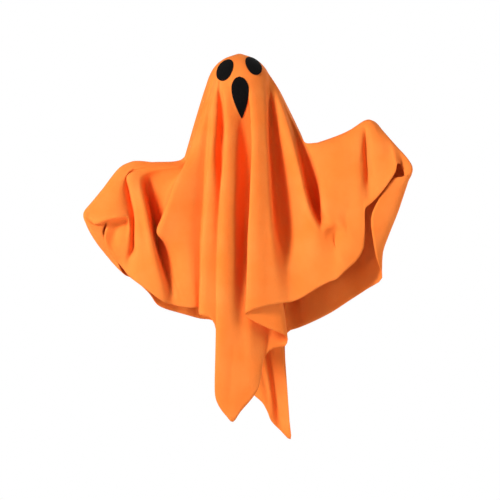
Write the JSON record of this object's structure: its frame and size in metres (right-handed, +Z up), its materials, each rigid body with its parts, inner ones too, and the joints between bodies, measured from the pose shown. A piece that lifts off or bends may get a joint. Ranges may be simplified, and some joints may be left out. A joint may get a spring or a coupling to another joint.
{
  "type": "hanging ghost decoration",
  "caption": "Hanging ghost decoration: a square of soft fabric draped over a ball head and raised wire arms, with felt eyes and mouth.",
  "frame": {"origin": "the hang point at the crown of the head", "axes": "+Z up, along the hanging cord; -Y towards the face; +X towards the viewer's right"},
  "size_m": [0.527, 0.1984, 0.6319],
  "materials": {
    "sheet": "matte brushed orange fabric",
    "felt": "matte black felt",
    "foam": "white bead foam",
    "wire": "bright drawn wire"
  },
  "bodies": {
    "root": {"ghost_sheet": "sheet", "left_eye": "felt", "right_eye": "felt", "mouth": "felt", "head_ball": "foam", "arm_wire": "wire", "hanging_wire": "wire"}
  },
  "joints": []
}
